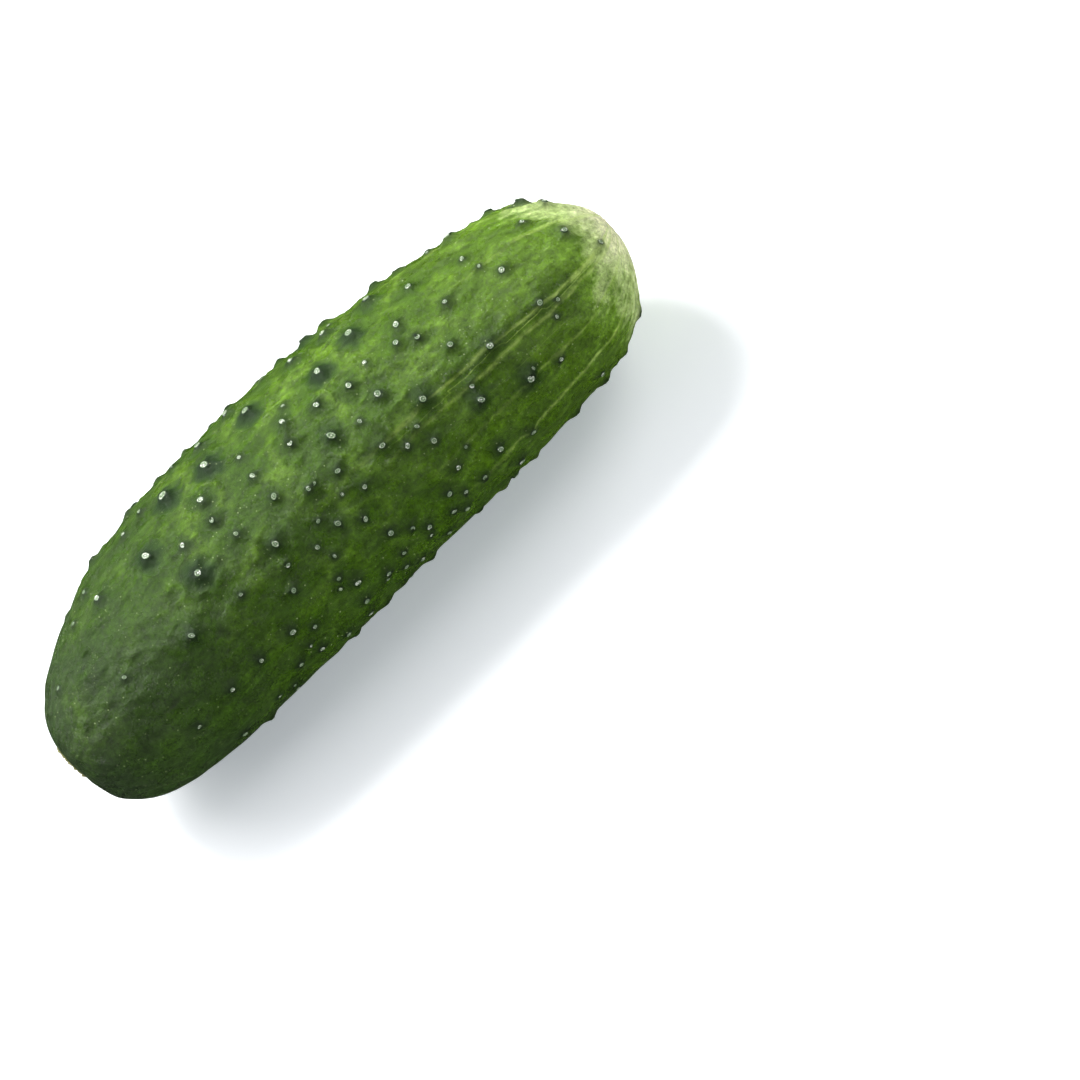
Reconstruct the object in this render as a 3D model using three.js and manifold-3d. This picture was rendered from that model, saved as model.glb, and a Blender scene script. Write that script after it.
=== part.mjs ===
// A pickling cucumber, lying on its belly. Millimetres, +Z up. It grows as one piece, so it is one solid:
// the stem end points to -X, the blossom end to +X, and the bow of the fruit lies in the level plane.
import * as THREE from "three";
import { mergeVertices } from "three/addons/utils/BufferGeometryUtils.js";
import Module from "manifold-3d";

// Driving dimensions: millimetres, degrees, or shares of the length where the name ends in Share.
const length = 121; // of the outline, before the scars' pits are pressed in
const bodyRadius = 19.5; // of the widest part, between the warts
const taper = 0.31; // how much thinner the blossom end would be without its rounding
const taperFromShare = 0.45; // where the body starts to grow thinner
const stemRoundShare = 0.4; // how far the stem end's rounding reaches
const stemRoundPower = 2.7; // 2 is an ellipse, and a higher power a blunter end
const blossomRoundShare = 0.13; // the same for the blossom end
const blossomRoundPower = 1.9;
const bowDepth = 4.9; // how far the middle stands out of a straight line
const bowSkew = 0.9; // moves the deepest point towards the stem end, in millimetres
const scarLift = 1.8; // how far both scars sit off the middle line, towards the back and up
const scarLiftReach = 6.5; // radius of the end face that goes with them
const scarLiftTurn = 35; // degrees from straight back towards straight up
const lobeHeight = 0.3; // the rounded triangle of the section
const lobeCount = 3;
const lobeTurn = 20;
const ribHeight = 0.16; // the fine ribs that run out of the blossom end
const ribCount = 11;
const stemPitDepth = 0.9; // the hollow that holds the stem scar
const stemPitRadius = 3.2;
const blossomPitDepth = 0.6; // and the one that holds the blossom scar
const blossomPitRadius = 2.4;
const bellyFlat = 0.6; // what the fruit's own weight presses flat underneath

// The skin's grid. It sets how fine the faceted surface is.
const sides = 62; // round the section
const rings = 74; // from one scar to the other

// Warts stand on the skin. Each is [millimetres from the stem scar, turn in degrees, size from 1 to 3].
// Turn is measured round the fruit from the line that faces front and up, and it grows towards the back.
const frontLean = 35; // degrees of that line from straight up
const wartsInSight = [
  [16.5, 78, 1.5], [21.3, 64, 1.7], [22.4, 47, 2.2], [32, 65.5, 1.2], [36.3, 66, 1.2], [32.4, 37.5, 2.4],
  [40.8, 54, 3], [48.8, 49, 3], [59.3, 56, 2.7], [44.8, 76, 1.5], [50.1, 68, 2], [56.7, 72, 2],
  [69.8, 68, 2], [76.4, 68, 2], [85, 65.5, 2.2], [64.5, 77, 1.4], [44.6, 35, 2], [37.6, 26.5, 1.5],
  [43.6, 24, 1.6], [62.2, 34, 2], [67.8, 29, 1.6], [71.6, 43, 2.7], [79.3, 51, 2.4], [73.5, 26, 1.8],
  [60.7, 24, 1.5], [53, 25, 1.7], [83.4, 27.5, 1.5], [85.4, 35, 1.8], [91, 52, 2], [100, 45, 1.7],
  [93.3, 28.5, 1.3], [86.4, 23, 1.3], [103, 22.5, 1.9], [110.6, 45, 1.5], [114, 22.5, 2], [115.3, 67, 1.8],
  [101, 75, 2], [78, 77, 1.3], [36.3, 12, 2.4], [44.8, 11.5, 1.3], [28.7, -4, 2], [48, -4, 2],
  [53.1, 11.3, 1.6], [66.1, 13.3, 2.2], [75.8, 14, 1.9], [57.8, 3, 1.5], [62.9, 0, 1.6], [70.6, -5, 1.7],
  [80.2, -1.5, 2.2], [64.1, -13.5, 1.3], [73.3, -13.3, 1.2], [57.1, -17.3, 1.6], [44.8, -25, 1.6],
  [60.6, -25, 1.4], [76.8, -20, 1.6], [87, -12.5, 1.3], [86.5, -20, 2.2], [89.2, 9.5, 1.5], [93.4, -3.5, 2],
  [103.6, -4, 1.5], [94.3, -30, 2.3], [99.8, -36, 1.2], [117, -3, 1.2], [27, -38, 1.2], [33.4, -39, 1.2],
  [40, -40.5, 1.8], [43, -48.5, 1.3], [37.2, -60, 1.5], [41.2, -65, 1.5], [45.7, -72, 1.7], [23.2, -69, 1.5],
  [52.6, -48.5, 1.7], [61.8, -39.5, 1.8], [64.7, -47, 1.5], [66.7, -54, 1.7], [57, -57.5, 1.6],
  [51.5, -63, 1.6], [59.7, -66, 1.2], [62.3, -72.5, 1.6], [68.2, -72.5, 1.6], [76.5, -39, 1.5],
  [72.6, -47.5, 1.5], [74.6, -54.5, 1.2], [71.1, -59, 1.3], [72.9, -64.5, 1.3], [78.3, -57, 1.3],
  [83.2, -50, 2], [84.2, -71, 1.8], [88.7, -58, 1.5], [102.8, -71, 1.5], [34, -77, 1.4], [50.5, -77, 1.4],
];
const hiddenFrom = 83; // the other side's warts are scattered between these two turns
const hiddenTo = 277;
const hiddenWarts = 100;
const mostTries = 4000;
const wartSpacing = 5.1; // least distance between two scattered warts
const bareStem = 14; // no scattered wart nearer to the stem scar, or to the blossom scar below
const bareBlossom = 6;
const wartHeight = 0.36; // of a wart of size 1, above the skin
const wartHeightPerSize = 0.24;
const wartWidth = 1.05; // how far a wart of size 1 spreads
const wartWidthPerSize = 0.35;

const radians = THREE.MathUtils.degToRad;

// A repeatable stream of numbers from 0 to 1.
let streamState = 7;
function nextNumber() {
  streamState = (1664525 * streamState + 1013904223) % 4294967296;
  return streamState / 4294967296;
}

// How round an end is: 0 at its tip, and 1 once the share reaches the rounding's length.
function endRounding(share, reach, power) {
  const fromShoulder = 1 - Math.min(share / reach, 1);
  return (1 - fromShoulder ** power) ** (1 / power);
}

function radiusAt(share) {
  const thinning = 1 - taper * Math.max((share - taperFromShare) / (1 - taperFromShare), 0) ** 2;
  const stemEnd = endRounding(share, stemRoundShare, stemRoundPower);
  const blossomEnd = endRounding(1 - share, blossomRoundShare, blossomRoundPower);
  return bodyRadius * thinning * stemEnd * blossomEnd;
}

function bowAt(share) {
  return bowDepth * Math.sin(Math.PI * share) + bowSkew * Math.sin(2 * Math.PI * share);
}

// How far the middle of a ring of this radius sits off the middle line.
function liftAt(radius) {
  return scarLift * Math.exp(-((radius / scarLiftReach) ** 2));
}

// Distance over the skin between two places, each [millimetres along, degrees round].
function skinDistance(placeA, placeB) {
  const round = Math.abs(placeA[1] - placeB[1]) % 360;
  const arc = radians(Math.min(round, 360 - round)) * bodyRadius;
  return Math.hypot(placeA[0] - placeB[0], arc);
}

function scatterHiddenWarts() {
  const placed = [...wartsInSight];
  const wanted = wartsInSight.length + hiddenWarts;
  for (let tries = 0; tries < mostTries && placed.length < wanted; tries++) {
    const along = bareStem + nextNumber() * (length - bareStem - bareBlossom);
    const turn = hiddenFrom + nextNumber() * (hiddenTo - hiddenFrom);
    const size = 1.2 + 1.5 * nextNumber() ** 2; // most are small
    const place = [along, turn, size];
    if (placed.every((other) => skinDistance(place, other) > wartSpacing)) placed.push(place);
  }
  return placed;
}

// The outline of one side, from the stem scar to the blossom scar: x is the radius and y is along the fruit.
class SideOutline extends THREE.Curve {
  getPoint(step, target = new THREE.Vector2()) {
    const share = Math.sin((Math.PI / 2) * step) ** 2;
    return target.set(radiusAt(share), share * length);
  }
}
const outline = new SideOutline();
outline.arcLengthDivisions = 3000;
const outlinePoints = outline.getSpacedPoints(rings);

// A wart's peak is set on the nearest point of the skin's grid, so that it keeps its full height.
function onGrid([along, turn, size]) {
  const gaps = outlinePoints.map((point) => Math.abs(point.y - along));
  const nearest = outlinePoints[gaps.indexOf(Math.min(...gaps))];
  const step = 360 / sides;
  return [nearest.y, frontLean - Math.round((frontLean - turn) / step) * step, size];
}

function reliefAt(along, turn, warts) {
  let highest = 0;
  for (const wart of warts) {
    const spread = wartWidth + wartWidthPerSize * (wart[2] - 1);
    const away = skinDistance([along, turn], wart) / spread;
    const height = wartHeight + wartHeightPerSize * (wart[2] - 1);
    highest = Math.max(highest, height * Math.exp(-away * away));
  }
  return highest;
}

// Moves the plain lathed body's points: section, ribs and warts first, then the scars' pits and the bow.
function shapeSkin(geometry, warts) {
  const skin = geometry.getAttribute("position");
  for (let i = 0; i < skin.count; i++) {
    const along = skin.getY(i);
    const share = along / length;
    const plainRadius = Math.hypot(skin.getX(i), skin.getZ(i));
    const angle = Math.atan2(skin.getX(i), skin.getZ(i));
    const body = Math.min(plainRadius / bodyRadius, 1);
    const lobes = lobeHeight * Math.cos(lobeCount * (angle - radians(lobeTurn)));
    const ribs = ribHeight * Math.cos(ribCount * angle) * Math.max(2 * share - 1, 0);
    const turn = frontLean - THREE.MathUtils.radToDeg(angle);
    const radius = plainRadius + body * (lobes + ribs + reliefAt(along, turn, warts));
    const stemPit = share < 0.5 ? stemPitDepth * Math.exp(-((plainRadius / stemPitRadius) ** 2)) : 0;
    const blossomPit = share > 0.5 ? blossomPitDepth * Math.exp(-((plainRadius / blossomPitRadius) ** 2)) : 0;
    skin.setXYZ(
      i,
      along - length / 2 + stemPit - blossomPit,
      bowAt(share) + liftAt(plainRadius) * Math.cos(radians(scarLiftTurn)) - radius * Math.sin(angle),
      liftAt(plainRadius) * Math.sin(radians(scarLiftTurn)) + radius * Math.cos(angle),
    );
  }
}

const wasm = await Module();
wasm.setup();

function solidFrom(geometry) {
  const bare = geometry.clone();
  bare.deleteAttribute("normal");
  bare.deleteAttribute("uv");
  const merged = mergeVertices(bare, 1e-3);
  return new wasm.Manifold(
    new wasm.Mesh({
      numProp: 3,
      vertProperties: merged.getAttribute("position").array,
      triVerts: new Uint32Array(merged.index.array),
    }),
  );
}

function geometryFrom(solid) {
  const { vertProperties, triVerts } = solid.getMesh();
  const geometry = new THREE.BufferGeometry();
  geometry.setAttribute("position", new THREE.BufferAttribute(vertProperties, 3));
  geometry.setIndex(new THREE.BufferAttribute(triVerts, 1));
  return geometry;
}

// The body is lathed, shaped, and pressed flat where it rests. Then its belly is set on the ground plane,
// with the origin under the middle of its box.
function makeCucumber() {
  const body = new THREE.LatheGeometry(outlinePoints, sides);
  shapeSkin(body, scatterHiddenWarts().map(onGrid));
  const below = new THREE.BoxGeometry(2 * length, 2 * length, length);
  below.translate(0, 0, bellyFlat - bodyRadius - length / 2);
  const geometry = geometryFrom(solidFrom(body).subtract(solidFrom(below)));
  geometry.computeBoundingBox();
  const middle = geometry.boundingBox.getCenter(new THREE.Vector3());
  geometry.translate(-middle.x, -middle.y, -geometry.boundingBox.min.z);
  geometry.computeVertexNormals();
  return geometry;
}

const waxyGreen = new THREE.MeshStandardMaterial({ color: 0x3f6a1e, roughness: 0.42, metalness: 0 });
const cucumber = new THREE.Mesh(makeCucumber(), waxyGreen);
cucumber.name = "cucumber";

const part = new THREE.Group();
part.add(cucumber);
export default part;
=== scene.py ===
import math
import bpy
from mathutils import Matrix, Vector, kdtree, noise


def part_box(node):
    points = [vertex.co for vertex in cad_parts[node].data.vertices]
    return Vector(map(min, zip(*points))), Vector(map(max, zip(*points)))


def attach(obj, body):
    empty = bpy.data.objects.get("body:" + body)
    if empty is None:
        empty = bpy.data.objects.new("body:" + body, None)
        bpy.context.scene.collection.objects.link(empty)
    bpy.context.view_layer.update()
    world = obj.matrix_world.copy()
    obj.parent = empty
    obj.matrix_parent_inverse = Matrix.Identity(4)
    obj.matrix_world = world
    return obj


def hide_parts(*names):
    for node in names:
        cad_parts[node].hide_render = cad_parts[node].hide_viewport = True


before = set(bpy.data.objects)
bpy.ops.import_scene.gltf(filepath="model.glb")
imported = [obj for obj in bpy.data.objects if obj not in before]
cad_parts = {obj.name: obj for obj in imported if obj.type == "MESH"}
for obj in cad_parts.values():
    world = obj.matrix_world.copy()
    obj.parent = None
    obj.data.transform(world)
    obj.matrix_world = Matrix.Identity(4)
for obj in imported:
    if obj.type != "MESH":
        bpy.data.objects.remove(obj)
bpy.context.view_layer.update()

mm = 0.001

# ---- the fruit's plain shape, in millimetres, degrees and shares of the length; the same as the CAD model's
fruit = {
    "length": 121.0,  # of the outline, before the scars' pits are pressed in
    "radius": 19.5,
    "taper": 0.31, "taperFrom": 0.45,  # how much thinner the blossom end would be without its rounding
    "stemRound": (0.4, 2.7),  # how far the end's rounding reaches, and its power: 2 is an ellipse
    "blossomRound": (0.13, 1.9),
    "bow": 4.9,
    "bowSkew": 0.9,  # moves the deepest point towards the stem end
    "scarLift": 1.8,  # how far both scars sit off the middle line
    "scarLiftReach": 6.5,  # radius of the end face that goes with them
    "scarLiftTurn": 35.0,  # degrees from straight back towards straight up
    "stemPit": (0.9, 3.2),  # depth and radius of the hollow round the stem scar
    "blossomPit": (0.6, 2.4),
    "bellyFlat": 0.6,  # how much of the underside is pressed flat
    "sides": 40,
    "rings": 38,
    "smoothing": 3,  # subdivision levels, so the skin ends up 320 faces round
}
frontLean = 35.0  # degrees from straight up, towards the front, where a turn of 0 lies

# Warts: millimetres from the stem scar, turn in degrees (towards the back), size from 1 to 3.
wartsInSight = [
    (16.5, 78, 1.0), (21.3, 64, 1.3), (22.4, 47, 2.0), (32, 65.5, 1.0), (36.3, 66, 1.0),
    (32.4, 37.5, 2.4), (40.8, 54, 3), (48.8, 49, 3), (59.3, 56, 2.7), (44.8, 76, 1.5), (50.1, 68, 2),
    (56.7, 72, 2), (69.8, 68, 2), (76.4, 68, 2), (85, 65.5, 2.2), (64.5, 77, 1.4), (44.6, 35, 2),
    (37.6, 26.5, 1.5), (43.6, 24, 1.6), (62.2, 34, 2), (67.8, 29, 1.6), (71.6, 43, 2.7),
    (79.3, 51, 2.4), (73.5, 26, 1.8), (60.7, 24, 1.5), (53, 25, 1.7), (83.4, 27.5, 1.5),
    (85.4, 35, 1.8), (91, 52, 2), (100, 45, 1.7), (93.3, 28.5, 1.3), (86.4, 23, 1.3), (103, 22.5, 1.9),
    (110.6, 45, 1.5), (114, 22.5, 2), (115.3, 67, 1.8), (101, 75, 2), (78, 77, 1.3), (36.3, 12, 2.4),
    (44.8, 11.5, 1.3), (28.7, -4, 2), (48, -4, 2), (53.1, 11.3, 1.6), (66.1, 13.3, 2.2),
    (75.8, 14, 1.9), (57.8, 3, 1.5), (62.9, 0, 1.6), (70.6, -5, 1.7), (80.2, -1.5, 2.2),
    (64.1, -13.5, 1.3), (73.3, -13.3, 1.2), (57.1, -17.3, 1.6), (44.8, -25, 1.6), (60.6, -25, 1.4),
    (76.8, -20, 1.6), (87, -12.5, 1.3), (86.5, -20, 2.2), (89.2, 9.5, 1.5), (93.4, -3.5, 2),
    (103.6, -4, 1.5), (94.3, -30, 2.3), (99.8, -36, 1.2), (117, -3, 1.2), (27, -38, 1.2),
    (33.4, -39, 1.2), (40, -40.5, 1.8), (43, -48.5, 1.3), (37.2, -60, 1.5), (41.2, -65, 1.5),
    (45.7, -72, 1.7), (23.2, -69, 1.5), (52.6, -48.5, 1.7), (61.8, -39.5, 1.8), (64.7, -47, 1.5),
    (66.7, -54, 1.7), (57, -57.5, 1.6), (51.5, -63, 1.6), (59.7, -66, 1.2), (62.3, -72.5, 1.6),
    (68.2, -72.5, 1.6), (76.5, -39, 1.5), (72.6, -47.5, 1.5), (74.6, -54.5, 1.2), (71.1, -59, 1.3),
    (72.9, -64.5, 1.3), (78.3, -57, 1.3), (83.2, -50, 2), (84.2, -71, 1.8), (88.7, -58, 1.5),
    (102.8, -71, 1.5), (34, -77, 1.4), (50.5, -77, 1.4),
]
# Small warts with hardly a mound, the same way.
freckles = [
    (16.6, 59, 0.7), (7.9, 47, 0.6), (16.7, 9, 0.8), (19.2, -40, 0.6), (38.6, -8.5, 0.8),
    (53.5, 38, 0.9), (64, 42.5, 0.8), (77.8, 30, 0.9), (101, 33, 0.9), (70.8, 10, 0.8), (58.9, 3, 0.6),
    (76.5, -9.3, 0.9), (55.2, -10.5, 0.7), (60.8, -9, 0.8), (52.2, -19, 0.9), (47, -15, 0.9),
    (53.1, -27.5, 0.9), (106, -9.5, 0.6), (104, -16, 0.8), (51, -38.3, 0.9), (50, -43.5, 0.9),
    (56.3, -62.5, 0.8), (66, -60, 0.9), (40.4, -56, 0.7), (34.1, -70, 0.9), (31.2, -68, 0.7),
    (61, -56, 0.9), (79.6, -34, 0.6), (95.6, -27.5, 0.9), (97, 76, 0.9),
]
scatter = {
    "fromTurn": 83, "toTurn": 277,  # the side away from the front
    "warts": 130, "spacing": 4.5, "mostTries": 4000, "bareStem": 25, "bareBlossom": 6, "seed": 7,
    "size": 1.2, "sizeRange": 1.4,  # most are near the smaller end
}


def numberStream(seed):
    state = seed
    while True:
        state = (1664525 * state + 1013904223) % 4294967296
        yield state / 4294967296


def skinDistance(a, b):  # over the skin, in millimetres
    turn = abs(a[1] - b[1]) % 360
    return math.hypot(a[0] - b[0], math.radians(min(turn, 360 - turn)) * fruit["radius"])


def scatterHiddenWarts():
    stream = numberStream(scatter["seed"])
    placed = list(wartsInSight)
    tries = 0
    while tries < scatter["mostTries"] and len(placed) < len(wartsInSight) + scatter["warts"]:
        tries += 1
        room = fruit["length"] - scatter["bareStem"] - scatter["bareBlossom"]
        along = scatter["bareStem"] + next(stream) * room
        turn = scatter["fromTurn"] + next(stream) * (scatter["toTurn"] - scatter["fromTurn"])
        wart = (along, turn, scatter["size"] + scatter["sizeRange"] * next(stream) ** 2)
        if all(skinDistance(wart, other) > scatter["spacing"] for other in placed):
            placed.append(wart)
    return placed


def endRounding(share, reach, power):
    fromShoulder = 1 - min(share / reach, 1)
    return (1 - fromShoulder ** power) ** (1 / power)


def radiusAt(share):
    thinning = 1 - fruit["taper"] * max((share - fruit["taperFrom"]) / (1 - fruit["taperFrom"]), 0) ** 2
    ends = endRounding(share, *fruit["stemRound"]) * endRounding(1 - share, *fruit["blossomRound"])
    return fruit["radius"] * thinning * ends


def bowAt(share):
    return fruit["bow"] * math.sin(math.pi * share) + fruit["bowSkew"] * math.sin(2 * math.pi * share)


def liftAt(radius):  # how far the middle of a ring of this radius sits off the middle line
    turn = math.radians(fruit["scarLiftTurn"])
    lift = fruit["scarLift"] * math.exp(-(radius / fruit["scarLiftReach"]) ** 2)
    return Vector((0, lift * math.cos(turn), lift * math.sin(turn)))


def pitAt(share):  # how far the end faces are pressed in, along the fruit
    depth, radius = fruit["stemPit"] if share < 0.5 else fruit["blossomPit"]
    pressed = depth * math.exp(-(radiusAt(share) / radius) ** 2)
    return pressed if share < 0.5 else -pressed


axisHeight = fruit["radius"] - fruit["bellyFlat"]


def ringCentre(share):
    middle = Vector((share * fruit["length"] - fruit["length"] / 2 + pitAt(share), bowAt(share), axisHeight))
    return (middle + liftAt(radiusAt(share))) * mm


def outline(steps=3000):  # points of one side: share of the length, and distance over the skin from the stem
    points = []
    walked, last = 0.0, None
    for step in range(steps + 1):
        share = math.sin(math.pi / 2 * step / steps) ** 2
        here = Vector((share * fruit["length"], radiusAt(share)))
        walked += (here - last).length if last else 0.0
        points.append((share, walked))
        last = here
    return points


outlinePoints = outline()
skinLength = outlinePoints[-1][1]  # scar to scar over the skin


def evenShares(count):  # ring places, evenly spaced over the skin
    wanted = [skinLength * ring / count for ring in range(count + 1)]
    shares, index = [], 0
    for distance in wanted:
        while index < len(outlinePoints) - 1 and outlinePoints[index][1] < distance:
            index += 1
        shares.append(outlinePoints[index][0])
    return shares


def only(piece):
    bpy.ops.object.select_all(action="DESELECT")
    piece.select_set(True)
    bpy.context.view_layer.objects.active = piece


def settle(piece):  # puts the object's place into its mesh
    only(piece)
    bpy.ops.object.transform_apply(location=True, rotation=True, scale=True)


def growBody():
    shares = evenShares(fruit["rings"])
    here = shares[1]
    bpy.ops.object.select_all(action="DESELECT")
    bpy.ops.mesh.primitive_circle_add(
        vertices=fruit["sides"], radius=radiusAt(here) * mm, location=ringCentre(here),
        rotation=(0, math.radians(90), 0))
    body = bpy.context.object
    body.name = "cucumberSkin"
    settle(body)
    bpy.ops.object.mode_set(mode="EDIT")
    bpy.ops.mesh.select_mode(type="EDGE")
    bpy.ops.mesh.select_all(action="SELECT")
    for there in shares[2:-1]:
        bpy.ops.mesh.extrude_region_move(
            TRANSFORM_OT_translate={"value": ringCentre(there) - ringCentre(here)})
        grow = radiusAt(there) / radiusAt(here)
        bpy.ops.transform.resize(value=(1, grow, grow), center_override=ringCentre(there))
        here = there
    for pole, rim in ((shares[-1], shares[-2]), (shares[0], shares[1])):
        if pole == shares[0]:  # the blossom end is closed by now, so the only open edge is the stem end's
            bpy.ops.mesh.select_all(action="DESELECT")
            bpy.ops.mesh.select_non_manifold()
        bpy.ops.mesh.extrude_region_move(
            TRANSFORM_OT_translate={"value": ringCentre(pole) - ringCentre(rim)})
        bpy.ops.mesh.merge(type="CENTER")
    bpy.ops.mesh.select_all(action="SELECT")
    bpy.ops.mesh.normals_make_consistent(inside=False)
    bpy.ops.object.mode_set(mode="OBJECT")
    bpy.ops.object.modifier_add(type="SUBSURF")
    smooth = body.modifiers[-1]
    smooth.levels = smooth.render_levels = fruit["smoothing"]
    bpy.ops.object.modifier_apply(modifier=smooth.name)
    bpy.ops.object.shade_smooth()
    return body


# Where each point of the smooth skin lies: distance from the stem scar over the skin, and turn.
def mapSkin(body):
    sides = kdtree.KDTree(len(outlinePoints))
    for index, (share, walked) in enumerate(outlinePoints):
        sides.insert((share * fruit["length"], radiusAt(share), 0), index)
    sides.balance()
    places = []
    for vertex in body.data.vertices:
        x, y, z = vertex.co / mm
        share = min(max(x / fruit["length"] + 0.5, 0), 1)
        flat = Vector((0, y - bowAt(share), z - axisHeight))
        radius = flat.length
        for step in range(4):
            radius = (flat - liftAt(radius)).length
        outward = flat - liftAt(radius)
        found = sides.find((x + fruit["length"] / 2 - pitAt(share), radius, 0))[1]
        places.append((outlinePoints[found][0], outlinePoints[found][1], math.atan2(-outward.y, outward.z)))
    return places


body = growBody()
skinPlaces = mapSkin(body)
print("grown: plain body,", len(body.data.polygons), "faces, skin length", round(skinLength, 1))

# ---- relief of the skin
relief = {
    "lobe": 0.3, "lobeCount": 3, "lobeTurn": 20.0,
    "rib": 0.22, "ribCount": 11,
    "swell": 0.30, "swellSize": 13.0,  # slow unevenness, height and size in millimetres
    "ripple": 0.42, "rippleSize": 3.6, "rippleStretch": 0.6,
    "mound": 0.62, "moundPerSize": 0.70, "moundWidth": 1.35, "moundWidthPerSize": 0.42,
    "dimple": 0.12, "dimplePerSize": 0.22, "dimpleWidth": 1.7, "dimpleWidthPerSize": 0.52,
    "rim": 0.20, "rimPlace": 1.35, "rimWidth": 0.7,  # the low wall round a large wart's dimple
    "haloWidth": 1.15, "haloWidthPerSize": 0.40,
    "raggedness": 0.35, "raggedSize": 1.3,  # how uneven the warts' outlines are
    "ridge": 0.24, "ridgeWidth": 2.2,  # the low net of ridges between the warts
    "ridgeStray": 2.2, "ridgeStraySize": 4.0, "ridgePatchSize": 7.0,
}


def spotOnSkin(wart):
    along, turn = wart[0], wart[1]
    share = along / fruit["length"]
    angle = math.radians(frontLean - turn)
    outward = Vector((0, -math.sin(angle), math.cos(angle)))
    aim = ringCentre(share) + outward * radiusAt(share) * mm
    found, point, normal, face = body.closest_point_on_mesh(aim)
    return point, normal


warts = scatterHiddenWarts()
plainSpots = [spotOnSkin(wart) for wart in warts + freckles]
wartSpots = [(spot[0], wart[2]) for spot, wart in zip(plainSpots, warts)]
freckleSpots = [(spot[0], wart[2]) for spot, wart in zip(plainSpots[len(warts):], freckles)]
nearWarts = kdtree.KDTree(len(wartSpots) + len(freckleSpots))
for index, (spot, size) in enumerate(wartSpots + freckleSpots):
    nearWarts.insert(spot, index)
nearWarts.balance()
sizes = [size for spot, size in wartSpots + freckleSpots]
nearBigWarts = kdtree.KDTree(len(wartSpots))
for index, (spot, size) in enumerate(wartSpots):
    nearBigWarts.insert(spot, index)
nearBigWarts.balance()


def bump(distance, width, power=2):
    return math.exp(-abs(distance / width) ** power)


def reliefAt(co, place):
    share, walked, angle = place
    fullness = min(radiusAt(share) / fruit["radius"], 1)
    height = relief["lobe"] * math.cos(relief["lobeCount"] * (angle - math.radians(relief["lobeTurn"])))
    height += relief["rib"] * math.cos(relief["ribCount"] * angle) * min(max(1.8 * share - 0.5, 0), 1)
    height += relief["swell"] * noise.noise(co / mm / relief["swellSize"])
    drawnOut = Vector((co.x * relief["rippleStretch"], co.y, co.z)) / mm / relief["rippleSize"]
    height += relief["ripple"] * noise.noise(drawnOut)
    height *= fullness
    halo = dimple = 0.0
    ragged = 1 + relief["raggedness"] * noise.noise(co / mm / relief["raggedSize"])
    stray = noise.noise_vector(co / mm / relief["ridgeStraySize"]) * relief["ridgeStray"] * mm
    nearest = nearBigWarts.find_n(co + stray, 2)
    between = (nearest[1][2] - nearest[0][2]) / mm
    net = bump(between, relief["ridgeWidth"]) * min(max(nearest[0][2] / mm - 1.8, 0), 1)
    patchSpot = co / mm / relief["ridgePatchSize"] + Vector((5, 0, 0))
    net *= min(max(0.5 + 1.3 * noise.noise(patchSpot), 0), 1)
    net *= min(max(4.5 * share - 0.7, 0.25), 1) * min(max(8 * (1 - share), 0), 1)
    height += relief["ridge"] * net
    for spot, index, far in nearWarts.find_n(co, 4):
        big, far = sizes[index] - 1, far / mm * ragged
        mound = max(relief["mound"] + relief["moundPerSize"] * big, 0.1)
        height += mound * bump(far, max(relief["moundWidth"] + relief["moundWidthPerSize"] * big, 0.6), 3)
        width = relief["dimpleWidth"] + relief["dimpleWidthPerSize"] * big
        height -= max(relief["dimple"] + relief["dimplePerSize"] * big, 0) * bump(far, width, 4)
        halo = max(halo, bump(far, relief["haloWidth"] + relief["haloWidthPerSize"] * big, 2.6))
        if big > 0:
            wall = relief["rim"] * min(big, 1.5)
            height += wall * bump(far - relief["rimPlace"] * width, relief["rimWidth"])
            dimple = max(dimple, min(max(1.6 * big - 1.4, 0), 1) * bump(far, width * 1.05, 8))
    return height, halo, dimple, net


def pushSkin(piece, heights, axis="NORMAL", sign=1):  # moves each point by its own height, in millimetres
    low, high = min(heights), max(heights)
    group = piece.vertex_groups.new(name="relief")
    for index, height in enumerate(heights):
        group.add([index], (height - low) / (high - low), "REPLACE")
    only(piece)
    for name, strength in (("raise", high - low), ("lower", low)):
        bpy.ops.object.modifier_add(type="DISPLACE")
        push = piece.modifiers[-1]
        push.strength = strength * mm * sign
        push.mid_level = 0
        push.direction = axis
        if name == "raise":
            push.vertex_group = "relief"
        bpy.ops.object.modifier_apply(modifier=push.name)
    piece.vertex_groups.clear()


reliefs = [reliefAt(v.co, place) for v, place in zip(body.data.vertices, skinPlaces)]
pushSkin(body, [found[0] for found in reliefs])
print("raised:", len(warts), "warts and", len(freckles), "freckles")

# ---- stripes that run from the blossom scar towards the middle
stripes = [  # turn in degrees, how bright, and how far it reaches from the blossom end, as a share
    (72, 0.5, 0.35), (34, 0.7, 0.26), (-5, 1.0, 0.50), (-12, 0.9, 0.44), (-33, 0.8, 0.46), (-58, 0.9, 0.40),
    (-95, 0.7, 0.45),
    (-128, 0.8, 0.50), (-163, 0.8, 0.40), (162, 0.7, 0.50), (124, 0.9, 0.50), (99, 0.6, 0.40),
]
stripeWander = (0.9, 20.0)  # how far a stripe strays from its turn, and over what length, in millimetres


def stripeAt(place):  # how far round the skin to the nearest stripe's middle, and how bright it is there
    share, walked, angle = place
    radius = max(radiusAt(share), 1.0)
    nearest = (99.0, 0.0)
    for index, (turn, strength, reach) in enumerate(stripes):
        wander = stripeWander[0] * noise.noise(Vector((walked / stripeWander[1], index * 7.3, 0)))
        away = (angle - math.radians(frontLean - turn) + math.pi) % (2 * math.pi) - math.pi
        across = (away + wander / fruit["radius"]) * radius
        fade = min(max((share - 1 + reach) / reach * 1.6, 0), 1) * strength
        if abs(across) < abs(nearest[0]):
            nearest = (across, fade)
    return nearest


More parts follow.
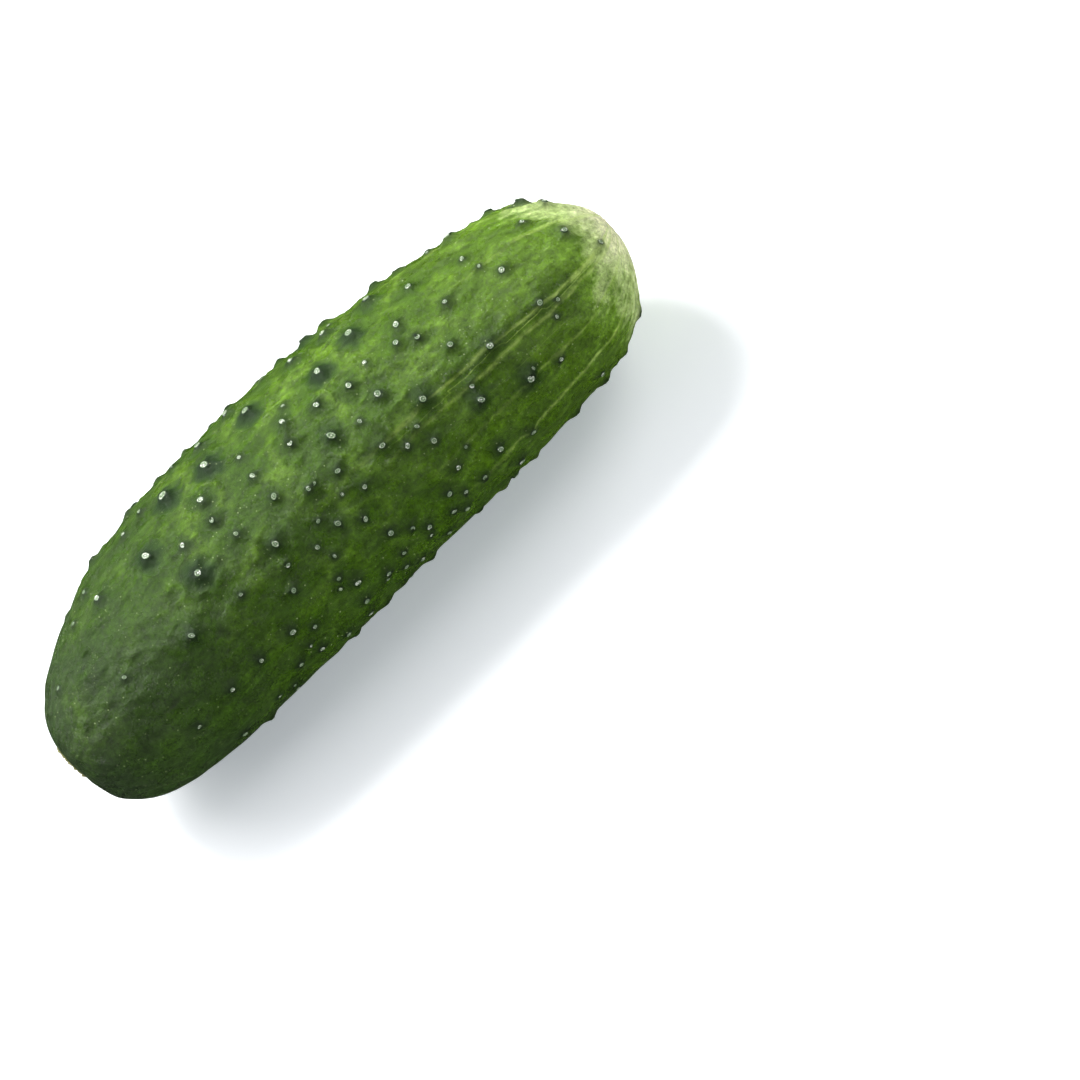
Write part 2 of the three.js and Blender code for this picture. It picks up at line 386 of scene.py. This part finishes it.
def addValue(piece, name, values):
    layer = piece.data.attributes.new(name=name, type="FLOAT", domain="POINT")
    layer.data.foreach_set("value", values)


def addPlace(piece, places):
    layer = piece.data.attributes.new(name="skinPlace", type="FLOAT_VECTOR", domain="POINT")
    flat = []
    for share, walked, angle in places:
        flat += [walked, fruit["radius"] * math.cos(angle), fruit["radius"] * math.sin(angle)]
    layer.data.foreach_set("vector", flat)


striping = [stripeAt(place) for place in skinPlaces]
addPlace(body, skinPlaces)
addValue(body, "ripeness", [place[1] / skinLength for place in skinPlaces])
addValue(body, "halo", [found[1] for found in reliefs])
addValue(body, "dimple", [found[2] for found in reliefs])
addValue(body, "net", [found[3] for found in reliefs])
addValue(body, "stripeAway", [away for away, strength in striping])
addValue(body, "stripeStrength", [strength for away, strength in striping])
print("marked: halos, dimples and", len(stripes), "stripes")

# ---- the dry tips of the warts
tip = {
    "sides": 10,
    "rings": [  # radius and height in millimetres, and how pale
        (1.0, -0.20, 0.0), (0.84, -0.02, 0.0), (0.72, 0.10, 0.5), (0.60, 0.14, 1.0), (0.46, 0.09, 0.4),
        (0.26, 0.05, 0.25), (0.12, 0.12, 1.0)],
    "top": 0.13, "width": 0.26, "widthPerSize": 0.20,
    "widthFrom": 0.88, "widthRange": 0.24, "stretchFrom": 0.8, "stretchRange": 0.4, "seed": 31,
    "clear": 4,  # millimetres off the plain skin, from where a tip looks for the wart's top
}


def makeTip():
    radius, height, pale = tip["rings"][0]
    bpy.ops.object.select_all(action="DESELECT")
    bpy.ops.mesh.primitive_circle_add(
        vertices=tip["sides"], radius=radius * mm, location=(0, 0, height * mm))
    piece = bpy.context.object
    piece.name = "wartTip"
    settle(piece)
    bpy.ops.object.mode_set(mode="EDIT")
    bpy.ops.mesh.select_mode(type="EDGE")
    bpy.ops.mesh.select_all(action="SELECT")
    for nextRadius, nextHeight, pale in tip["rings"][1:]:
        lift = (nextHeight - height) * mm
        bpy.ops.mesh.extrude_region_move(TRANSFORM_OT_translate={"value": (0, 0, lift)})
        shrink = nextRadius / radius
        bpy.ops.transform.resize(value=(shrink, shrink, 1), center_override=(0, 0, nextHeight * mm))
        radius, height = nextRadius, nextHeight
    bpy.ops.mesh.extrude_region_move(TRANSFORM_OT_translate={"value": (0, 0, (tip["top"] - height) * mm)})
    bpy.ops.mesh.merge(type="CENTER")
    bpy.ops.mesh.select_all(action="SELECT")
    bpy.ops.mesh.normals_make_consistent(inside=False)
    bpy.ops.object.mode_set(mode="OBJECT")
    bpy.ops.object.shade_smooth()
    return piece


def placeTips(pattern):
    copies = []
    stream = numberStream(tip["seed"])
    for wart, (foot, lean) in zip(warts + freckles, plainSpots):
        found, point, normal, face = body.ray_cast(foot + lean * tip["clear"] * mm, -lean)
        size = wart[2]
        width = tip["width"] + tip["widthPerSize"] * size
        width *= tip["widthFrom"] + tip["widthRange"] * next(stream)
        stretch = tip["stretchFrom"] + tip["stretchRange"] * next(stream)
        turn = Matrix.Rotation(next(stream) * 2 * math.pi, 4, "Z")
        tilt = lean.to_track_quat("Z", "Y").to_matrix().to_4x4()
        scale = Matrix.Diagonal((width * stretch, width / stretch, width, 1))
        copy = pattern.copy()
        copy.data = pattern.data.copy()
        bpy.context.collection.objects.link(copy)
        copy.matrix_world = Matrix.Translation(point) @ tilt @ turn @ scale
        paleness = [pale for radius, height, pale in tip["rings"] for side in range(tip["sides"])] + [1.0]
        white = next(stream)
        addValue(copy, "pale", paleness)
        addValue(copy, "bright", [white] * len(paleness))
        copies.append(copy)
    bpy.data.objects.remove(pattern)
    bpy.ops.object.select_all(action="DESELECT")
    for copy in copies:
        copy.select_set(True)
    bpy.context.view_layer.objects.active = copies[0]
    bpy.ops.object.join()
    joined = bpy.context.object
    joined.name = "wartTips"
    settle(joined)
    return joined


tips = placeTips(makeTip())
print("set:", len(tips.data.polygons), "faces of wart tips")

# ---- the scars at both ends: corky discs that follow the hollows they sit in
stemScarShape = {
    "sides": 26, "radius": 3.6, "uneven": 0.34, "grain": 0.7,
    "rings": [
        (1.0, -0.30), (0.90, 0.10), (0.76, 0.30), (0.60, 0.14), (0.44, 0.06), (0.28, 0.10), (0.12, 0.14)],
}  # each ring is a share of the radius, and its height over the skin
blossomScarShape = {
    "sides": 22, "radius": 2.2, "uneven": 0.14, "grain": 0.45,
    "rings": [
        (1.0, -0.25), (0.88, 0.03), (0.72, 0.08), (0.52, 0.06), (0.34, 0.07), (0.20, 0.03), (0.10, 0.0)],
}
scarFloor = {"height": 0.03, "reach": 0.85}  # within this share of its radius a scar never sinks below this
scarClear = {"look": 20, "start": 4}  # millimetres off the end, to look for it and to lay the disc


def scarHeight(shape, out):
    rings = shape["rings"]
    for (outer, high), (inner, low) in zip(rings, rings[1:]):
        if out >= inner:
            return low + (high - low) * min((out - inner) / (outer - inner), 1)
    return rings[-1][1]


def makeScar(name, shape, toEnd):
    bpy.ops.object.select_all(action="DESELECT")
    bpy.ops.mesh.primitive_circle_add(vertices=shape["sides"], radius=shape["radius"] * mm)
    piece = bpy.context.object
    piece.name = name
    bpy.ops.object.mode_set(mode="EDIT")
    bpy.ops.mesh.select_mode(type="EDGE")
    bpy.ops.mesh.select_all(action="SELECT")
    share = 1.0
    for nextShare, height in shape["rings"][1:]:
        shrink = nextShare / share
        bpy.ops.mesh.extrude_region_move(TRANSFORM_OT_translate={"value": (0, 0, 0)})
        bpy.ops.transform.resize(value=(shrink, shrink, 1), center_override=(0, 0, 0))
        share = nextShare
    bpy.ops.mesh.extrude_region_move(TRANSFORM_OT_translate={"value": (0, 0, 0)})
    bpy.ops.mesh.merge(type="CENTER")
    bpy.ops.mesh.select_all(action="SELECT")
    bpy.ops.mesh.normals_make_consistent(inside=False)
    bpy.ops.object.mode_set(mode="OBJECT")
    bpy.ops.object.shade_smooth()
    bpy.ops.object.modifier_add(type="SUBSURF")
    piece.modifiers[-1].levels = 2
    bpy.ops.object.modifier_apply(modifier=piece.modifiers[-1].name)
    if piece.data.polygons[0].normal.z < 0:
        bpy.ops.object.mode_set(mode="EDIT")
        bpy.ops.mesh.select_all(action="SELECT")
        bpy.ops.mesh.flip_normals()
        bpy.ops.object.mode_set(mode="OBJECT")
    outs, heights = [], []
    for vertex in piece.data.vertices:
        out = math.hypot(vertex.co.x, vertex.co.y) / mm / shape["radius"]
        spot = vertex.co / mm / shape["grain"] + Vector((toEnd * 9, 0, 0))
        crack = (1 - abs(noise.noise(spot)) * 2) ** 4
        rough = (noise.noise(spot * 1.7) - 0.5 * crack) * shape["uneven"] * (1 - min(out, 1) ** 8)
        rough *= min(out / 0.35, 1)
        outs.append(out)
        lowest = scarFloor["height"] if out < scarFloor["reach"] else -1
        heights.append(max(scarHeight(shape, out) + rough, lowest))
    addValue(piece, "out", outs)
    end = ringCentre(1 if toEnd > 0 else 0)
    outward = Vector((toEnd, 0, 0))
    found, point, normal, face = body.ray_cast(end + outward * scarClear["look"] * mm, -outward)
    facing = outward.to_track_quat("Z", "Y").to_matrix().to_4x4()
    piece.matrix_world = Matrix.Translation(point + outward * scarClear["start"] * mm) @ facing
    only(piece)
    bpy.ops.object.modifier_add(type="SHRINKWRAP")
    wrap = piece.modifiers[-1]
    wrap.target = body
    wrap.wrap_method = "PROJECT"
    wrap.use_project_z = True
    wrap.use_negative_direction = True
    wrap.use_positive_direction = False
    bpy.ops.object.modifier_apply(modifier=wrap.name)
    settle(piece)
    pushSkin(piece, heights, "X", toEnd)
    return piece


stemScar = makeScar("stemScar", stemScarShape, -1)
blossomScar = makeScar("blossomScar", blossomScarShape, 1)
print("set: both scars")


# ---- materials
def colour(hexText):  # a screen colour as the linear numbers a shader takes
    shades = [int(hexText[i:i + 2], 16) / 255 for i in (0, 2, 4)]
    return tuple((c / 12.92 if c <= 0.04045 else ((c + 0.055) / 1.055) ** 2.4) for c in shades) + (1.0,)


def newMaterial(name):
    material = bpy.data.materials.new(name)
    material.use_nodes = True
    nodes = material.node_tree.nodes
    return material, nodes, material.node_tree.links, nodes["Principled BSDF"]


def readValue(nodes, name):
    node = nodes.new("ShaderNodeAttribute")
    node.attribute_name = name
    return node


skinLook = {
    "ramp": [(0.0, "2d3f21"), (0.12, "30471a"), (0.33, "365408"), (0.50, "3c5c08"), (0.68, "436408"),
             (0.82, "4b6c0b"), (0.88, "658a22"), (0.92, "b0c67a"), (0.96, "e2e4b4"), (1.0, "f0ecca")],
    # the net colour is partly a painted highlight on the raised net; the dimple colour is painted shade with
    # some of the warts' own darker green
    "haloColour": "0a2107", "dimpleShadeColour": "163806", "litNetColour": "759a2e", "litTurn": 50.0,
    "stripeColour": "b4cf68", "creaseColour": "203c06", "fleckColour": "b9cc90",
    "fibreScale": 0.7, "mottleScale": 0.6, "grainScale": 1.8, "waxScale": 0.28,  # features in a millimetre
    "glossy": 0.17, "dull": 0.40, "dullerHalo": 0.25, "specular": 0.37,
    "wrinkleStem": 0.88, "wrinkleBlossom": 0.56, "leather": 0.46, "fuzz": 0.28,  # heights in millimetres
}
tipLook = {"dry": "b9c4a6", "driest": "fafbf4", "flesh": "1c3516", "paleFlesh": "8fa780", "roughness": 0.35}
scarLook = {  # the colours of the cork: light, middle and dark
    "tornCork": ("b9b48a", "75753f", "33301a"),
    "paleCork": ("ebe6c8", "cdc796", "857648"),
    "roughness": 0.8,
}


def link(links, value, socket):
    if isinstance(value, bpy.types.NodeSocket):
        links.new(value, socket)
    else:
        socket.default_value = value


def mixColour(nodes, links, factor, base, over, blend="MIX"):
    mix = nodes.new("ShaderNodeMix")
    mix.data_type = "RGBA"
    mix.blend_type = blend
    for socket, value in ((0, factor), (6, base), (7, over)):
        link(links, value, mix.inputs[socket])
    return mix.outputs[2]


def maths(nodes, links, operation, a, b, clamp=False):
    node = nodes.new("ShaderNodeMath")
    node.operation = operation
    node.use_clamp = clamp
    link(links, a, node.inputs[0])
    link(links, b, node.inputs[1])
    return node.outputs[0]


def span(nodes, links, value, fromLow, fromHigh, toLow, toHigh):
    node = nodes.new("ShaderNodeMapRange")
    link(links, value, node.inputs[0])
    for socket, number in ((1, fromLow), (2, fromHigh), (3, toLow), (4, toHigh)):
        node.inputs[socket].default_value = number
    return node.outputs[0]


def stretched(nodes, links, vector, scale):
    node = nodes.new("ShaderNodeVectorMath")
    node.operation = "MULTIPLY"
    link(links, vector, node.inputs[0])
    node.inputs[1].default_value = scale
    return node.outputs[0]


def noiseAt(nodes, links, vector, scale, detail=3.0, roughness=0.5, kind="FBM"):
    node = nodes.new("ShaderNodeTexNoise")
    node.noise_type = kind
    node.inputs["Scale"].default_value = scale
    node.inputs["Detail"].default_value = detail
    node.inputs["Roughness"].default_value = roughness
    link(links, vector, node.inputs["Vector"])
    return node.outputs["Fac"]


def greyTint(nodes, links, value):
    node = nodes.new("ShaderNodeCombineColor")
    for socket in range(3):
        link(links, value, node.inputs[socket])
    return node.outputs[0]


def dots(nodes, links, vector, scale, radius, share):  # small round spots at random places
    cells = nodes.new("ShaderNodeTexVoronoi")
    cells.inputs["Scale"].default_value = scale
    link(links, vector, cells.inputs["Vector"])
    near = span(nodes, links, cells.outputs["Distance"], radius, radius * 0.5, 0.0, 1.0)
    split = nodes.new("ShaderNodeSeparateColor")
    link(links, cells.outputs["Color"], split.inputs[0])
    chosen = span(nodes, links, split.outputs[0], 1 - share, 1.0, 0.0, 1.0)
    return maths(nodes, links, "MULTIPLY", near, chosen)


def skinMaterial():
    material, nodes, links, shader = newMaterial("waxySkin")
    place = readValue(nodes, "skinPlace").outputs["Vector"]
    where = stretched(nodes, links, nodes.new("ShaderNodeTexCoord").outputs["Object"], (1000, 1000, 1000))
    ripe = readValue(nodes, "ripeness").outputs["Fac"]
    drawnOut = stretched(nodes, links, place, (0.22, 1.0, 1.0))
    fibres = noiseAt(nodes, links, drawnOut, skinLook["fibreScale"], 4.0, 0.55)
    drawnOut = stretched(nodes, links, where, (0.8, 1.0, 1.0))
    mottle = noiseAt(nodes, links, drawnOut, skinLook["mottleScale"], 7.0, 0.68)
    slow = noiseAt(nodes, links, where, 0.09, 3.0)
    rays = noiseAt(nodes, links, stretched(nodes, links, place, (0.02, 1.0, 1.0)), 0.45, 4.0, 0.6)

    # ripening, from the dark stem end to the pale blossom end
    drift = span(nodes, links, slow, 0.3, 0.7, -0.05, 0.05)
    streaked = maths(nodes, links, "MULTIPLY", span(nodes, links, rays, 0.3, 0.7, -0.025, 0.025),
                     span(nodes, links, ripe, 0.4, 0.7, 0.0, 1.0))
    streaked = maths(nodes, links, "MULTIPLY", streaked, span(nodes, links, ripe, 0.86, 0.93, 1.0, 0.2))
    patches = span(nodes, links, mottle, 0.3, 0.7, -0.015, 0.02)
    drift = maths(nodes, links, "MULTIPLY", drift, span(nodes, links, ripe, 0.84, 0.92, 1.0, 0.35))
    ripe = maths(nodes, links, "ADD", maths(nodes, links, "ADD", ripe, drift), streaked)
    ripe = maths(nodes, links, "ADD", ripe, patches, clamp=True)
    ramp = nodes.new("ShaderNodeValToRGB")
    stops = ramp.color_ramp.elements
    for index, (position, text) in enumerate(skinLook["ramp"]):
        stop = stops[index] if index < 2 else stops.new(position)
        stop.position = position
        stop.color = colour(text)
    links.new(ripe, ramp.inputs[0])
    base = ramp.outputs[0]

    # the paler net between the warts is its own colour in part, and in part a painted highlight, stronger on
    # the lit side
    facing = nodes.new("ShaderNodeVectorMath")
    facing.operation = "DOT_PRODUCT"
    litTurn = math.radians(frontLean - skinLook["litTurn"])
    facing.inputs[1].default_value = Vector((0, math.cos(litTurn), math.sin(litTurn))) / fruit["radius"]
    links.new(place, facing.inputs[0])
    lit = span(nodes, links, facing.outputs["Value"], -0.2, 0.9, 0.0, 1.0)
    net = readValue(nodes, "net").outputs["Fac"]
    net = maths(nodes, links, "MULTIPLY", net, span(nodes, links, mottle, 0.38, 0.6, 0.15, 0.55))
    net = maths(nodes, links, "MULTIPLY", net, span(nodes, links, lit, 0.0, 1.0, 0.3, 1.0))
    # painted highlight: the pale net colour is laid on more strongly on the side turned to the light
    base = mixColour(nodes, links, net, base, colour(skinLook["litNetColour"]))

    tone = maths(nodes, links, "ADD", maths(nodes, links, "MULTIPLY", fibres, 0.6), mottle)
    tone = span(nodes, links, tone, 0.62, 1.0, 0.71, 1.34)
    base = mixColour(nodes, links, 1.0, base, greyTint(nodes, links, tone), "MULTIPLY")
    fuzz = noiseAt(nodes, links, where, skinLook["grainScale"], 5.0, 0.8)
    grain = span(nodes, links, fuzz, 0.36, 0.64, 0.70, 1.34)
    base = mixColour(nodes, links, 1.0, base, greyTint(nodes, links, grain), "MULTIPLY")

    # stripes: a pale ragged line with a dark thin one at either side
    away = readValue(nodes, "stripeAway").outputs["Fac"]
    strength = readValue(nodes, "stripeStrength").outputs["Fac"]
    away = maths(nodes, links, "ABSOLUTE", maths(nodes, links, "ADD", away,
                 span(nodes, links, fibres, 0.3, 0.7, -0.35, 0.35)), 0.0)
    broken = maths(nodes, links, "MULTIPLY", strength, span(nodes, links, mottle, 0.40, 0.6, 0.3, 1.0))
    broken = maths(nodes, links, "MULTIPLY", broken, span(nodes, links, rays, 0.40, 0.55, 0.35, 1.0))
    pale = maths(nodes, links, "MULTIPLY", span(nodes, links, away, 0.1, 0.5, 0.95, 0.0), broken)
    dark = maths(nodes, links, "MULTIPLY", span(nodes, links, away, 0.5, 0.8, 0.0, 0.6),
                 span(nodes, links, away, 1.0, 1.6, 1.0, 0.0))
    dark = maths(nodes, links, "MULTIPLY", dark, span(nodes, links, ripe, 0.82, 0.92, 0.8, 0.0))
    base = mixColour(nodes, links, maths(nodes, links, "MULTIPLY", dark, broken), base,
                     colour(skinLook["creaseColour"]))
    base = mixColour(nodes, links, pale, base, colour(skinLook["stripeColour"]))

    # warts: a darker dimple round the large ones, painted shade in the hollow with some of their own darker
    # green, and a dark halo round all
    halo = readValue(nodes, "halo").outputs["Fac"]
    dimple = readValue(nodes, "dimple").outputs["Fac"]
    # painted shade: the dimples round the large warts are darkened, partly their own darker green
    base = mixColour(nodes, links, maths(nodes, links, "MULTIPLY", dimple, 0.85), base,
                     colour(skinLook["dimpleShadeColour"]))
    edge = maths(nodes, links, "MULTIPLY", halo, span(nodes, links, mottle, 0.36, 0.6, 0.55, 1.15))
    base = mixColour(nodes, links, maths(nodes, links, "MULTIPLY", edge, 0.9, clamp=True), base,
                     colour(skinLook["haloColour"]))
    patchy = span(nodes, links, slow, 0.4, 0.6, 0.25, 0.8)
    flecks = maths(nodes, links, "MULTIPLY", dots(nodes, links, where, 1.3, 0.2, 0.5), patchy)
    base = mixColour(nodes, links, flecks, base, colour(skinLook["fleckColour"]))
    links.new(base, shader.inputs["Base Color"])

    # gloss, and a leathery surface that wrinkles more towards the stem end
    marked = maths(nodes, links, "MAXIMUM", halo, dimple)
    dull = maths(nodes, links, "MULTIPLY", marked, skinLook["dullerHalo"])
    wax = noiseAt(nodes, links, where, skinLook["waxScale"], 3.0, 0.5)
    waxy = span(nodes, links, wax, 0.35, 0.65, skinLook["glossy"], skinLook["dull"])
    dull = maths(nodes, links, "ADD", dull, waxy)
    links.new(dull, shader.inputs["Roughness"])
    shader.inputs["Specular IOR Level"].default_value = skinLook["specular"]
    crinkle = noiseAt(nodes, links, stretched(nodes, links, where, (0.7, 1.0, 1.0)), 0.40, 4.0, 0.55,
                      "RIDGED_MULTIFRACTAL")
    wrinkled = span(nodes, links, ripe, 0.2, 0.6, skinLook["wrinkleStem"], skinLook["wrinkleBlossom"])
    crinkle = maths(nodes, links, "MULTIPLY", crinkle, wrinkled)
    leather = maths(nodes, links, "MULTIPLY", mottle, skinLook["leather"])
    press = nodes.new("ShaderNodeBump")
    press.inputs["Strength"].default_value = 1.0
    press.inputs["Distance"].default_value = mm
    roughness = maths(nodes, links, "ADD", crinkle, leather)
    fuzzy = maths(nodes, links, "MULTIPLY", fuzz, skinLook["fuzz"])
    roughness = maths(nodes, links, "ADD", roughness, fuzzy)
    links.new(roughness, press.inputs["Height"])
    links.new(press.outputs[0], shader.inputs["Normal"])
    return material


def tipMaterial():
    material, nodes, links, shader = newMaterial("dryTip")
    where = stretched(nodes, links, nodes.new("ShaderNodeTexCoord").outputs["Object"], (1000, 1000, 1000))
    grain = noiseAt(nodes, links, where, 2.6, 3.0, 0.6)
    pale = readValue(nodes, "pale").outputs["Fac"]
    bright = readValue(nodes, "bright").outputs["Fac"]
    dry = mixColour(nodes, links, bright, colour(tipLook["dry"]), colour(tipLook["driest"]))
    spots = span(nodes, links, grain, 0.51, 0.62, 0.0, 1.0)
    flesh = mixColour(nodes, links, pale, colour(tipLook["flesh"]), colour(tipLook["paleFlesh"]))
    much = maths(nodes, links, "MULTIPLY", span(nodes, links, pale, 0.1, 0.6, 0.0, 1.0), spots, clamp=True)
    links.new(mixColour(nodes, links, much, flesh, dry), shader.inputs["Base Color"])
    shader.inputs["Roughness"].default_value = tipLook["roughness"]
    return material


def corkGroup():  # dry torn cork, shared by the scars
    group = bpy.data.node_groups.new("corkFace", "ShaderNodeTree")
    for name, kind in (("Place", "NodeSocketVector"), ("Out", "NodeSocketFloat"),
                       ("Light", "NodeSocketColor"), ("Middle", "NodeSocketColor"),
                       ("Dark", "NodeSocketColor")):
        group.interface.new_socket(name=name, in_out="INPUT", socket_type=kind)
    for name, kind in (("Colour", "NodeSocketColor"), ("Height", "NodeSocketFloat")):
        group.interface.new_socket(name=name, in_out="OUTPUT", socket_type=kind)
    nodes, links = group.nodes, group.links
    given = nodes.new("NodeGroupInput").outputs
    result = nodes.new("NodeGroupOutput").inputs
    cork = noiseAt(nodes, links, given["Place"], 1.4, 6.0, 0.7)
    cracks = noiseAt(nodes, links, given["Place"], 0.9, 4.0, 0.6, "RIDGED_MULTIFRACTAL")
    lighter = span(nodes, links, cork, 0.4, 0.62, 0.0, 1.0)
    base = mixColour(nodes, links, lighter, given["Middle"], given["Light"])
    rim = span(nodes, links, maths(nodes, links, "ADD", given["Out"], cork), 1.15, 1.45, 0.0, 0.9)
    base = mixColour(nodes, links, rim, base, given["Middle"])
    heart = span(nodes, links, given["Out"], 0.10, 0.22, 0.9, 0.0)
    deep = maths(nodes, links, "MAXIMUM", heart, span(nodes, links, cracks, 1.0, 1.35, 0.0, 0.8))
    links.new(mixColour(nodes, links, deep, base, given["Dark"]), result["Colour"])
    links.new(maths(nodes, links, "MULTIPLY", cork, 0.25), result["Height"])
    return group


corkFace = corkGroup()


def scarMaterial(name):
    material, nodes, links, shader = newMaterial(name)
    cork = nodes.new("ShaderNodeGroup")
    cork.node_tree = corkFace
    where = stretched(nodes, links, nodes.new("ShaderNodeTexCoord").outputs["Object"], (1000, 1000, 1000))
    links.new(where, cork.inputs["Place"])
    links.new(readValue(nodes, "out").outputs["Fac"], cork.inputs["Out"])
    for socket, text in zip(("Light", "Middle", "Dark"), scarLook[name]):
        cork.inputs[socket].default_value = colour(text)
    links.new(cork.outputs["Colour"], shader.inputs["Base Color"])
    shader.inputs["Roughness"].default_value = scarLook["roughness"]
    press = nodes.new("ShaderNodeBump")
    press.inputs["Distance"].default_value = mm
    links.new(cork.outputs["Height"], press.inputs["Height"])
    links.new(press.outputs[0], shader.inputs["Normal"])
    return material


stemScar.data.materials.append(scarMaterial("tornCork"))
blossomScar.data.materials.append(scarMaterial("paleCork"))
body.data.materials.append(skinMaterial())
tips.data.materials.append(tipMaterial())
print("painted")

# ---- the belly is pressed flat where it rests, and the pieces are set on the CAD model's place
pieces = [body, tips, stemScar, blossomScar]
for piece in pieces:
    only(piece)
    bpy.ops.object.mode_set(mode="EDIT")
    bpy.ops.mesh.select_mode(type="VERT")
    bpy.ops.mesh.select_all(action="DESELECT")
    bpy.ops.object.mode_set(mode="OBJECT")
    for vertex in piece.data.vertices:
        vertex.select = vertex.co.z < 0
    bpy.ops.object.mode_set(mode="EDIT")
    bpy.ops.transform.resize(value=(1, 1, 0), center_override=(0, 0, 0))
    bpy.ops.object.mode_set(mode="OBJECT")

boxLow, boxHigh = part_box("cucumber")
ys = [vertex.co.y for vertex in body.data.vertices]
xs = [vertex.co.x for vertex in body.data.vertices]
shift = Vector(((boxLow[0] + boxHigh[0] - min(xs) - max(xs)) / 2,
                (boxLow[1] + boxHigh[1] - min(ys) - max(ys)) / 2, boxLow[2]))
print("shift", shift / mm)
for piece in pieces:
    piece.location = shift
    settle(piece)

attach(body, "root")
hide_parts("cucumber")
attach(tips, "root")
for scar in (stemScar, blossomScar):
    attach(scar, "root")

# ---- floor, light and camera
stage = {"floorSize": 3.0, "floorColour": (0.90, 0.905, 0.915, 1), "floorRoughness": 0.6,
         "floorGlow": (0.86, 0.93, 1.0, 1), "floorGlowStrength": 0.32,
         "airColour": (0.92, 0.96, 1.0, 1), "airLight": 0.15, "airMirrored": 0.03}
bpy.ops.object.select_all(action="DESELECT")
bpy.ops.mesh.primitive_plane_add(size=stage["floorSize"], location=(0, 0, boxLow[2]))
floor = bpy.context.object
floor.name = "floor"
settle(floor)
floorMaterial, nodes, links, shader = newMaterial("paleFloor")
shader.inputs["Base Color"].default_value = stage["floorColour"]
shader.inputs["Roughness"].default_value = stage["floorRoughness"]
shader.inputs["Emission Color"].default_value = stage["floorGlow"]
shader.inputs["Emission Strength"].default_value = stage["floorGlowStrength"]
floor.data.materials.append(floorMaterial)
floor.visible_glossy = False

middle = Vector(((boxLow[0] + boxHigh[0]) / 2, (boxLow[1] + boxHigh[1]) / 2, (boxLow[2] + boxHigh[2]) / 2))


def addLamp(name, place, size, power):
    data = bpy.data.lights.new(name, "AREA")
    data.shape = "RECTANGLE"
    data.size, data.size_y = size
    data.energy = power
    lamp = bpy.data.objects.new(name, data)
    bpy.context.collection.objects.link(lamp)
    lamp.location = middle + Vector(place)
    lamp.rotation_mode = "QUATERNION"
    lamp.rotation_quaternion = (middle - lamp.location).to_track_quat("-Z", "Y")


lamps = [  # name, place from the fruit's middle, size in metres, and watts
    ("backWindow", (-0.68, 0.50, 0.68), (1.4, 0.6), 6.0),
    ("ceiling", (-0.1, -0.26, 0.86), (2.2, 1.4), 1.4),
    ("keyBox", (-0.10, 0.48, 0.62), (0.3, 0.3), 7.2),
    ("stemSheen", (-0.33, 0.50, 0.60), (0.5, 0.3), 3.0),
    ("besideBlossom", (0.65, 0.10, 0.45), (0.5, 0.5), 3.1),
    ("frontFill", (0.1, -1.0, 0.45), (2.4, 0.9), 3.1),
]
for lampFacts in lamps:
    addLamp(*lampFacts)

world = bpy.data.worlds.new("studio")
bpy.context.scene.world = world
world.use_nodes = True
nodes, links = world.node_tree.nodes, world.node_tree.links
ambient = nodes["Background"]
ambient.inputs[0].default_value = stage["airColour"]
rays = nodes.new("ShaderNodeLightPath")
dim = nodes.new("ShaderNodeMapRange")  # the studio's dark walls are what the skin mirrors
dim.inputs[3].default_value = stage["airLight"]
dim.inputs[4].default_value = stage["airMirrored"]
links.new(rays.outputs["Is Glossy Ray"], dim.inputs[0])
links.new(dim.outputs[0], ambient.inputs[1])

view = {
    "elevation": 55.0, "roll": 45.3, "lens": 300.0, "sensor": 36.0,
    "seenWidth": 0.1705,  # how much of the world the picture's width spans at the fruit, in metres
    "across": -0.0336, "up": 0.0094,  # where the fruit's middle stands from the picture's middle
}
elevation, roll = math.radians(view["elevation"]), math.radians(view["roll"])
outward = Vector((0, -math.cos(elevation), math.sin(elevation)))
levelRight = Vector((1, 0, 0))
levelUp = outward.cross(levelRight)
right = levelRight * math.cos(roll) - levelUp * math.sin(roll)
up = levelRight * math.sin(roll) + levelUp * math.cos(roll)
cameraData = bpy.data.cameras.new("camera")
camera = bpy.data.objects.new("camera", cameraData)
bpy.context.collection.objects.link(camera)
cameraData.lens, cameraData.sensor_width = view["lens"], view["sensor"]
distance = view["seenWidth"] * view["lens"] / view["sensor"]
aim = middle - right * view["across"] - up * view["up"]
camera.matrix_world = Matrix.Translation(aim + outward * distance) @ Matrix(
    (right, up, outward)).transposed().to_4x4()
bpy.context.scene.camera = camera
bpy.context.scene.view_settings.view_transform = "Standard"
